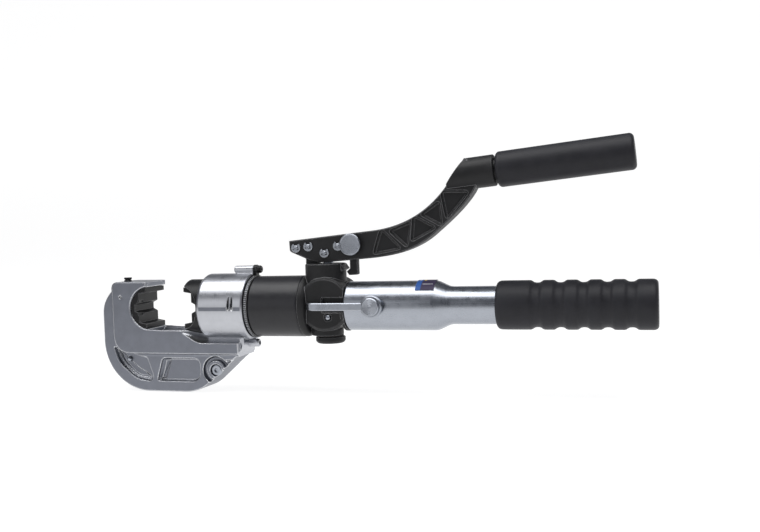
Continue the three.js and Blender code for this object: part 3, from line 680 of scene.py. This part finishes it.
def swivel_ring():
    """The ring behind the head, with a fine serration on its rim and a lug for its screw."""
    low, high = span("swivel_ring")
    outer = 31.0
    teeth = []
    for i in range(TEETH):
        for share, radius in ((0, outer - 0.8), (0.25, outer), (0.5, outer), (0.75, outer - 0.8)):
            teeth += arc(0, 0, radius, 360 * (i + share) / TEETH, 360, 1)[:1]
    smooth = arc(0, 0, outer - 0.9, 0, 360, len(teeth))[:-1]
    ring = loft("x", [
        (low.x, smooth), (low.x + 0.3, offset(smooth, 0.2)), (low.x + 1.1, teeth),
        (high.x - 0.5, teeth), (high.x, smooth),
    ])
    lug = lathe("x", [[low.x, 0], [low.x, 4.6], [high.x, 4.6], [high.x, 0]], (0, 0, BOSS_Z), 0.4, FINE)
    web = rounded([[-3, 30], [-3.4, 35], [3.4, 35], [3, 30]])
    fuse(ring, lug, loft("x", [(low.x, web), (high.x, web)]))
    cut(ring, rod("x", low.x - 2, high.x + 2, 27.8, sides=ROUND),
        rod("x", low.x - 2, high.x + 2, 2.2, (0, 0, BOSS_Z)))

    def tooth_tip(centre, _):
        from_axis = math.hypot(centre.y, centre.z)
        return 1 if outer - 0.35 < from_axis < outer + 0.1 and abs(centre.y) > 5 else 0  # the lug stays black

    metals = [BLACK_OXIDE, TURNED_STEEL]
    return finish(ring, "serrated_ring", "head", ["swivel_ring"], metals, sharp=20, pick=tooth_tip)


def cylinder():
    low, high = span("cylinder")
    bore = 23.0
    shoulder = -382.7  # front edge of the visible sleeve, just behind the swivel ring
    radius = high.y
    profile = [
        [low.x, bore], [low.x, 27.4], [shoulder, 27.4], [shoulder, radius - 0.8],
        [shoulder + 0.8, radius], [high.x - 1.4, radius, 0.8], [high.x, radius - 1.1, 0.5],
        [high.x, bore], [-397, bore], [-397, 25.4], [-400, 25.4], [-400, bore],
    ]
    return finish(lathe("x", profile), "black_sleeve", "pump", ["cylinder"], [SATIN_BLACK])


# ---------------------------------------------------------------- pump

TURRET = Vector((-311, 0, 41.5))
PLUNGER_X = centre_of("plunger").x
DRUM = Vector((-306.6, 0, 3))
RELEASE = Vector((-257, 0, 1.4))  # axis of the release lever
DRUM_HALF = 21.5
DRUM_RADIUS = 26
PIVOT_PIN = centre_of("pivot_pin")
BALL_PLUG = centre_of("ball_plug")
RELIEF = centre_of("relief_screw")


def pump_block():
    sleeve = span("cylinder")[1].x + 0.3
    core = lathe("x", [
        [-343, 0], [-343, 22.7], [sleeve, 22.7], [sleeve, 29.8], [sleeve + 3, 29.8, 1.2],
        [sleeve + 5.9, 27, 1], [sleeve + 7.4, 20], [-290, 20], [-290, 24.2], [-287, 24.2, 0.6],
        [-287, 20.3], [-240, 20.3], [-240, 9], [-232, 9], [-232, 0],
    ])
    drum = lathe("y", [
        [-DRUM_HALF, 0], [-DRUM_HALF, 23.4, 0.5], [-DRUM_HALF + 1, 24.2], [-DRUM_HALF + 1, 25.2],
        [-DRUM_HALF + 2, DRUM_RADIUS], [DRUM_HALF - 2, DRUM_RADIUS], [DRUM_HALF - 1, 25.2],
        [DRUM_HALF - 1, 24.2], [DRUM_HALF, 23.4, 0.5], [DRUM_HALF, 0],
    ], DRUM, 0.3)
    turret = lathe("z", [
        [-28.3, 0], [-28.3, 15.6, 0.8], [-10, 15.6], [-10, 20], [TURRET.z, 20, 1.4], [TURRET.z, 0],
    ], (TURRET.x, 0, 0))
    nose = rounded([
        [-301, TURRET.z], [-292.4, 41.4, 1.5], [-288.8, 36.1, 0.8], [-291.5, 34.6, 0.8], [-301, 30],
    ])
    ear = [Vector((-329.8, 38)), Vector((-317.6, 38))]
    ear += arc(PIVOT_PIN.x, PIVOT_PIN.z, 6.5, 0, 180, 24) + [Vector((-329.8, 50))]
    return fuse(core, drum, turret, plate(nose, -8, 8, 0.6), plate(ear, -4.7, 4.7, 0.5))


def pump_bores():
    plunger = [
        [-30, 0], [-30, 9], [-14, 9], [-14, 3.4], [-8, 3.4], [-8, 5.2], [38, 5.2], [38, 8.6],
        [43, 8.6], [43, 0],
    ]
    delivery = [[-344, 0], [-344, 4.2], [-317, 4.2], [-315, 2], [-311, 2], [-311, 0]]
    relief = [[6, 0], [6, 2], [9, 2], [9, 4.2], [23, 4.2], [23, 0]]
    ball = [[-REACH, 0], [-REACH, 5], [-DRUM_HALF, 4], [-DRUM_HALF + 0.8, 3.2], [-15.5, 3.2], [-15.5, 0]]
    channel = rounded([[-309, -5, 1], [-278, -5], [-278, 9.8], [-309, 9.8, 1]])
    floor = 3 - DRUM_HALF
    return [
        lathe("z", plunger, (PLUNGER_X, 0, 0), 0, FINE),
        lathe("x", delivery, (0, 0, -11), 0, FINE),
        rod("x", -344, -336, 3.3),
        lathe("y", relief, (RELIEF.x, 0, RELIEF.z), 0, FINE),
        lathe("y", ball, (BALL_PLUG.x, 0, BALL_PLUG.z), 0, FINE),
        rod("y", -22, -2, 3.1, RELEASE),
        rod("x", -258, -231, 4, (0, 0, -6)),
        rod("y", -6, 6, 2.6, (PIVOT_PIN.x, 0, PIVOT_PIN.z)),
        loft("y", [(-REACH, channel), (floor - 0.5, channel), (floor, offset(channel, -0.5))]),
        lathe("x", [[-286.7, 20.3], [-286.7, 40], [-226, 40], [-226, 20.3]], fillet=0),
    ]


def pump():
    body = cut(pump_block(), *pump_bores())
    finish(body, "pump_casting", "pump", ["pump_body"], [CAST_BLACK])
    low, high = span("bottom_plug")
    plug = lathe("z", [
        [low.z, 0], [low.z, 12.5, 0.8], [low.z + 2, 14.5, 0.8], [-29.9, 14.5, 0.6], [-29.9, 8.7],
        [high.z, 8.7], [high.z, 0],
    ], (PLUNGER_X, 0, 0), 0.3)
    cut(plug, hexagon("z", low.z - 1, low.z + 3.5, 10, (PLUNGER_X, 0, 0)))
    finish(plug, "bottom_cap", "pump", ["bottom_plug"], [CAST_BLACK])
    radius = 2.8
    ball = lathe(
        "y", [[-radius * math.cos(math.pi * i / 16), radius * math.sin(math.pi * i / 16)] for i in range(17)],
        (BALL_PLUG.x, BALL_PLUG.y, BALL_PLUG.z), 0, 32,
    )
    finish(ball, "ball_stopper", "pump", ["ball_plug"], [BRIGHT_STEEL])


# ---------------------------------------------------------------- handle

TUBE_LOW, TUBE_HIGH = span("handle_tube")
TUBE_RADIUS = TUBE_HIGH.y
NECK_RADIUS = 17.8
SHOULDER = (-199, -186.5)


def handle_tube():
    front, rear = SHOULDER
    profile = [
        [TUBE_LOW.x, 20.6], [TUBE_LOW.x, TUBE_RADIUS - 0.7], [TUBE_LOW.x + 0.9, TUBE_RADIUS],
        [front, TUBE_RADIUS, 3], [rear, NECK_RADIUS, 3], [TUBE_HIGH.x, NECK_RADIUS],
        [TUBE_HIGH.x, 15], [rear - 1, 15], [front - 1, 20.6],
    ]
    tube = lathe("x", profile, fillet=0.3, sides=144)
    cut(tube, rod("y", -30, -10, 3.6, RELEASE))
    return finish(tube, "handle_barrel", "pump", ["handle_tube"], [ALUMINIUM])


def label_print():
    """Plain fields of colour for the label: a blue strip, a dark field and two small signs."""
    colours = {
        "label_blue": (0.03, 0.10, 0.34),
        "label_dark": (0.045, 0.035, 0.075),
        "label_yellow": (0.75, 0.52, 0.05),
        "label_white": (0.75, 0.77, 0.8),
    }
    return [
        surface(name, colour, 0.5, 0.4, 0.004, 0.08, edge_wear_and_highlight=0.2, Specular_IOR_Level=0.2)
        for name, colour in colours.items()
    ]


def label():
    low, high = span("spec_label")
    inner, outer = TUBE_RADIUS + 0.3, TUBE_RADIUS + 0.6
    start, end = 86, 139  # degrees from +Y, over the top towards -Y
    section = arc(0, 0, outer, start, end, 40) + arc(0, 0, inner, end, start, 40)
    steps = 36
    patch = loft("x", [(low.x + (high.x - low.x) * i / steps, section) for i in range(steps + 1)])
    blue, dark, yellow, white = range(4)

    def field(centre, _):
        along = (centre.x - low.x) / (high.x - low.x)
        down = (math.degrees(math.atan2(-centre.y, centre.z)) + 90 - start) / (end - start)
        if along < 0.27:
            return white if 0.06 < along < 0.2 and 0.1 < down < 0.26 else blue
        if 0.32 < along < 0.48 and abs(along - 0.4) < (0.34 - down) * 0.45 and down > 0.12:
            return yellow
        return white if 0.34 < along < 0.9 and 0.62 < down < 0.66 else dark

    return finish(patch, "printed_label", "pump", ["spec_label"], label_print(), pick=field)


GRIP_LOW, GRIP_HIGH = span("main_grip")
VALLEYS = [-106 + 20.8 * i for i in range(5)]


def grip_profile():
    """Outer profile of the main grip: smooth in front, then five rounded valleys."""
    radius = GRIP_HIGH.y
    half = 5.6
    points = [[GRIP_LOW.x, NECK_RADIUS + 0.3, 0.3], [GRIP_LOW.x, radius - 1.9, 1.2]]
    points += [[GRIP_LOW.x + 2.4, radius - 0.2, 1.6], [GRIP_LOW.x + 9, radius, 4]]
    for x in VALLEYS:
        points += [[x - half, radius, 1.4], [x - 2.6, radius - 2.3, 2.2], [x + 2.6, radius - 2.3, 2.2]]
        points += [[x + half, radius, 1.4]]
    points += [[-2.6, radius, 2.2], [0, radius - 2.2, 1.6], [0, 0]]
    return [[-5.7, 0], [-5.7, NECK_RADIUS + 0.3], *points]


def main_grip():
    grip = lathe("x", grip_profile(), sides=128)
    return finish(grip, "finger_grip", "pump", ["main_grip"], [RUBBER], sharp=40)


# ---------------------------------------------------------------- release lever

HUB_REAR = -26.2
HUB_FRONT = -30.2


def release_lever():
    """The flat lever on the side of the pump, with a ring round its screw and a bent tip."""
    half = 3.6
    top = rounded([
        [RELEASE.x, HUB_REAR], [-316.6, HUB_REAR, 1], [-322.1, -22.8, 0.6], [-323.6, -25, 0.8],
        [-318.1, -29.4, 2.2], [-313.6, HUB_FRONT, 2], [RELEASE.x, HUB_FRONT],
    ], steps=5)
    low, high = RELEASE.z - half, RELEASE.z + half
    slim = offset(top, -0.7)
    bar = loft("z", [(low, slim), (low + 0.7, top), (high - 0.7, top), (high, slim)])
    hub = lathe("y", [
        [HUB_REAR, 0], [HUB_REAR, 10.6], [HUB_FRONT + 0.8, 10.6], [HUB_FRONT, 9.8], [HUB_FRONT, 0],
    ], RELEASE, 0.3, 72)
    lever = cut(fuse(hub, bar), rod("y", -40, -20, 3.1, RELEASE))
    finish(lever, "release_handle", "release", ["release_lever"], [BRIGHT_STEEL])
    rings = []
    for radius in (7.2, 5.9, 4.6, 3.3):
        rings += [[-32.95, radius, 0.1], [-32.72, radius - 0.35, 0.1], [-32.72, radius - 0.7, 0.1]]
        rings += [[-32.95, radius - 0.95, 0.1]]
    profile = [[-32.4, 0], [-32.6, 1.1], [-32.95, 1.6], *reversed(rings)]
    profile += [[-33, 7.6], [-32.2, 8.5], [-30.5, 8.5], [-30.5, 2.8], [-24, 2.8], [-24, 0]]
    screw = lathe("y", profile, RELEASE, 0.15, 72)
    finish(screw, "release_disc", "release", ["release_screw"], [BRIGHT_STEEL], sharp=24)


# ---------------------------------------------------------------- pump lever

LEVER_HALF = 9.0
CHEEK_GAP = 5.0
GRIP_AT = Vector((-140, 0, 124.4))
GRIP_TILT = math.radians(5.06)
LATCH = centre_of("latch_knob")
PINS = ("stop_pin", "pivot_pin", "plunger_pin", "spring_pin")


def on_grip_axis(piece):
    """Moves a piece built along +X from the origin onto the lever grip's tilted axis."""
    turn = Matrix.Rotation(-GRIP_TILT, 4, "Y")
    piece.data.transform(Matrix.Translation(GRIP_AT * MM) @ turn)
    return piece


def lever_path():
    path = [Vector((-345.2, 64.3)), Vector((-344.8, 55.5))]
    path += bend((-344.8, 55.5), (-344.6, 54), (-342.6, 53), 4)
    path += [Vector((-325, 45.4))]
    path += bend((-325, 45.4), (-318, 42.3), (-306, 42.8), 8)
    path += [Vector((-262, 45.9))]
    path += bend((-262, 45.9), (-220.4, 48.8), (-197.7, 69.0), 14)
    path += bend((-197.7, 69.0), (-168.2, 92.6), (-159.9, 107.9), 12)
    path += [Vector((-150, 124)), Vector((-169.1, 136.3)), Vector((-181.7, 118.6))]
    path += bend((-181.7, 118.6), (-208, 78.4), (-256, 72.5), 20)
    return path


TRUSS_POCKETS = (
    [[-259.5, 49.5, 4], [-251.3, 74.5, 6], [-231.3, 54.3, 4]],
    [[-243.5, 71.3, 4], [-225.5, 55, 4], [-221.3, 79.6, 4]],
    [[-221.8, 60.5, 4], [-219.3, 85.5, 5], [-196.8, 73, 4]],
    [[-212.5, 85.8, 4], [-191.3, 74, 4], [-193.3, 98, 4]],
    [[-192.3, 107, 5], [-164.5, 106, 5], [-187.3, 80, 5]],
)


def lever_cuts():
    pockets = [cutter for corners in TRUSS_POCKETS for cutter in pocket(corners, LEVER_HALF, 3, 0.7)]
    channel = rounded([
        [-350, 30], [-266, 30], [-266, 67, 4], [-298, 65.5], [-298, 80], [-350, 80],
    ])
    holes = []
    for node in PINS:
        middle = centre_of(node)
        holes.append(rod("y", -12, 12, 2.6, (middle.x, 0, middle.z)))
    return [
        *pockets,
        *holes,
        loft("y", [(-CHEEK_GAP, channel), (CHEEK_GAP, channel)]),
        rod("y", -12, 12, 3.2, (LATCH.x, 0, LATCH.z)),
        on_grip_axis(rod("x", -22, 1, 11.2)),
    ]


def lever_arm():
    arm = plate(lever_path(), -LEVER_HALF, LEVER_HALF, 0.8)
    wedge = rounded([
        [-230, 150], [-230, 90], [-193, 103], [-181.7, 118.6], [-169.1, 136.3], [-165, 150],
    ])
    socket = on_grip_axis(lathe("x", [[-47, 0], [-47, 14.6], [-2.8, 14.6], [-2, 13.8], [-2, 0]]))
    cut(socket, loft("y", [(-20, wedge), (20, wedge)]))
    body = cut(fuse(arm, socket), *lever_cuts())
    return finish(body, "lever_casting", "lever", ["lever_arm"], [CAST_BLACK])


def lever_grip():
    radius = 16.4
    length = 123
    grip = lathe("x", [
        [0, 11.2], [0, radius - 2.2, 1.2], [2.2, radius, 1.2], [length - 2.4, radius, 1.6],
        [length, radius - 2.6, 1.4], [length, 0], [length - 6, 0], [length - 6, 11.2],
    ], sides=128)
    finish(on_grip_axis(grip), "lever_sleeve", "lever", ["lever_grip"], [RUBBER], sharp=40)
    tube = lathe("x", [[-21.5, 8.4], [-21.5, 10.9], [110, 10.9], [110, 8.4]], fillet=0.3)
    finish(on_grip_axis(tube), "lever_core_tube", "lever", ["lever_tube"], [BLACK_OXIDE])


def clip_path(centre):
    """An E-clip seen along its pin: open at the top, with three teeth that grip the groove."""
    mouth = 34
    outer = arc(0, 0, 4.7, 90 + mouth, 450 - mouth, 40)
    inner = []
    for i in range(49):
        angle = 450 - mouth - (360 - 2 * mouth) * i / 48
        lobe = 0.5 + 0.5 * math.cos(math.radians(3 * (angle - 270)))
        inner += arc(0, 0, 3.3 - 1.15 * lobe ** 0.7, angle, 0, 1)[:1]
    return [Vector((centre.x + u, centre.z + v)) for u, v in outer + inner]


def lever_pins():
    low = span("stop_pin_clip")[0].y
    high = span("stop_pin_clip")[1].y
    for node in PINS:
        middle = centre_of(node)
        front, back = span(node)[0].y, span(node)[1].y
        pin = lathe("y", [
            [front + 0.5, 0], [front + 0.2, 0.8], [front, 1.2], [front, 1.8], [front + 0.5, 2.3],
            [low - 0.1, 2.3], [low - 0.1, 1.8], [high + 0.1, 1.8], [high + 0.1, 2.3],
            [9.3, 2.3], [9.3, 4], [back, 4], [back, 0],
        ], (middle.x, 0, middle.z), 0.12, 32)
        finish(pin, f"{node}_turned", "lever", [node], [BRIGHT_STEEL])
        clip = plate(clip_path(middle), low, high, 0.18)
        finish(clip, f"{node}_e_clip", "lever", [f"{node}_clip"], [BRIGHT_STEEL])


# ---------------------------------------------------------------- latch


def latch():
    outline = rounded([
        [-284.8, 57, 2], [-284.8, 36.3], [-288.2, 33.4, 0.6], [-285.8, 29.8, 1], [-276.6, 30.2, 1.5],
        [-276.8, 57, 2], [-277, 63.5, 2.5], [-284.6, 63.5, 2.5],
    ])
    hook = cut(plate(outline, -4.4, 1.4, 0.6), rod("y", -8, 8, 3.3, (LATCH.x, 0, LATCH.z)))
    finish(hook, "latch_claw", "latch", ["latch_hook"], [CAST_BLACK])
    knob = lathe("y", [
        [-14.8, 0], [-14.8, 9.0, 0.3], [-15, 9.3, 0.1], [-15, 9.9, 0.3], [-14.4, 10.5, 0.3],
        [-12, 10.5, 0.3], [-12, 2.9], [9.3, 2.9], [9.3, 2.2], [10.6, 2.2], [10.6, 2.9],
        [11.6, 2.9], [11.6, 0],
    ], (LATCH.x, 0, LATCH.z), 0.2, 80)
    finish(knob, "latch_disc", "latch", ["latch_knob"], [BRIGHT_STEEL])


# ---------------------------------------------------------------- stage, light and camera


GLOW = (0.3, 0.9)  # emission strength of the floor close to the camera, and under and behind the tool
GLOW_DEPTH = (-0.75, -0.42)  # where along Y, in metres, the first goes over into the second


def stage_sheet():
    """A pale floor that sweeps up into a low wall behind the tool."""
    floor = HEAD_LOW.z - 1
    wall = 2600
    turn = 500
    profile = [(-3000, floor), (wall - turn, floor)]
    profile += [
        (wall - turn + turn * math.sin(a), floor + turn - turn * math.cos(a))
        for a in (math.radians(5 * i) for i in range(1, 19))
    ]
    profile += [(wall, 1150)]
    work = bmesh.new()
    sides = [[work.verts.new((x, y, z)) for y, z in profile] for x in (-5200, 4200)]
    for i in range(len(profile) - 1):
        work.faces.new((sides[0][i], sides[1][i], sides[1][i + 1], sides[0][i + 1]))
    sheet = mesh_object("stage_sheet", work)
    sheet.data.shade_smooth()
    paper = Finish("stage_paper", Roughness=0.9, Base_Color=(0.2, 0.2, 0.2, 1))
    paper.shader.inputs["Emission Color"].default_value = (1, 1, 1, 1)
    depth = paper.node("ShaderNodeSeparateXYZ", {0: paper.place}).outputs["Y"]
    glow = paper.spread(depth, *GLOW, *GLOW_DEPTH)
    paper.tree.links.new(glow, paper.shader.inputs["Emission Strength"])
    sheet.data.materials.append(paper.material)


def area_light(name, place, target, size, power, color=(1, 1, 1)):
    light = bpy.data.lights.new(name, "AREA")
    light.shape = "RECTANGLE"
    light.size, light.size_y = size
    light.energy = power
    light.color = color
    lamp = bpy.data.objects.new(name, light)
    lamp.location = place
    lamp.rotation_euler = (Vector(target) - Vector(place)).to_track_quat("-Z", "Y").to_euler()
    bpy.context.scene.collection.objects.link(lamp)


def lights():
    middle = (-0.27, 0, 0.03)
    area_light("top_box", (-0.27, -0.28, 1.25), middle, (2.2, 0.95), 24)
    area_light("front_fill", (-1.3, -1.7, 0.5), middle, (0.9, 0.9), 3)
    world = bpy.data.worlds.new("studio")
    world.use_nodes = True
    background = world.node_tree.nodes["Background"]
    background.inputs["Color"].default_value = (0.12, 0.125, 0.14, 1)
    bpy.context.scene.world = world
    bpy.context.scene.view_settings.view_transform = "Standard"


def camera():
    """The photograph's viewpoint: in front of the handle's end and a little above the tool."""
    lens = bpy.data.cameras.new("camera")
    lens.lens = 44.99
    lens.sensor_width = 36
    lens.clip_end = 20
    right = Vector((0.95437, 0.29697, -0.03175))
    up = Vector((0.01652, 0.05365, 0.99844))
    ahead = Vector((-0.29820, 0.95339, -0.04629))
    eye = bpy.data.objects.new("camera", lens)
    eye.matrix_world = Matrix.Translation((0.015447, -0.866762, 0.079996)) @ Matrix(
        (right, up, -ahead)
    ).transposed().to_4x4()
    bpy.context.scene.collection.objects.link(eye)
    bpy.context.scene.camera = eye


def dress_frame():
    """Gives each CAD node that still shows its slot's finish."""
    for part in frame["record"]["subparts"]:
        material = SLOT_FINISHES.get(part["material_slot"], BRIGHT_STEEL)
        for slot in frame["nodes"][part["node"]].material_slots:
            slot.material = material


camera()
lights()
stage_sheet()
dress_frame()
c_head()
head_fasteners()
die_button()
dies()
ram()
swivel_ring()
cylinder()
pump()
handle_tube()
label()
main_grip()
release_lever()
lever_arm()
lever_grip()
lever_pins()
latch()
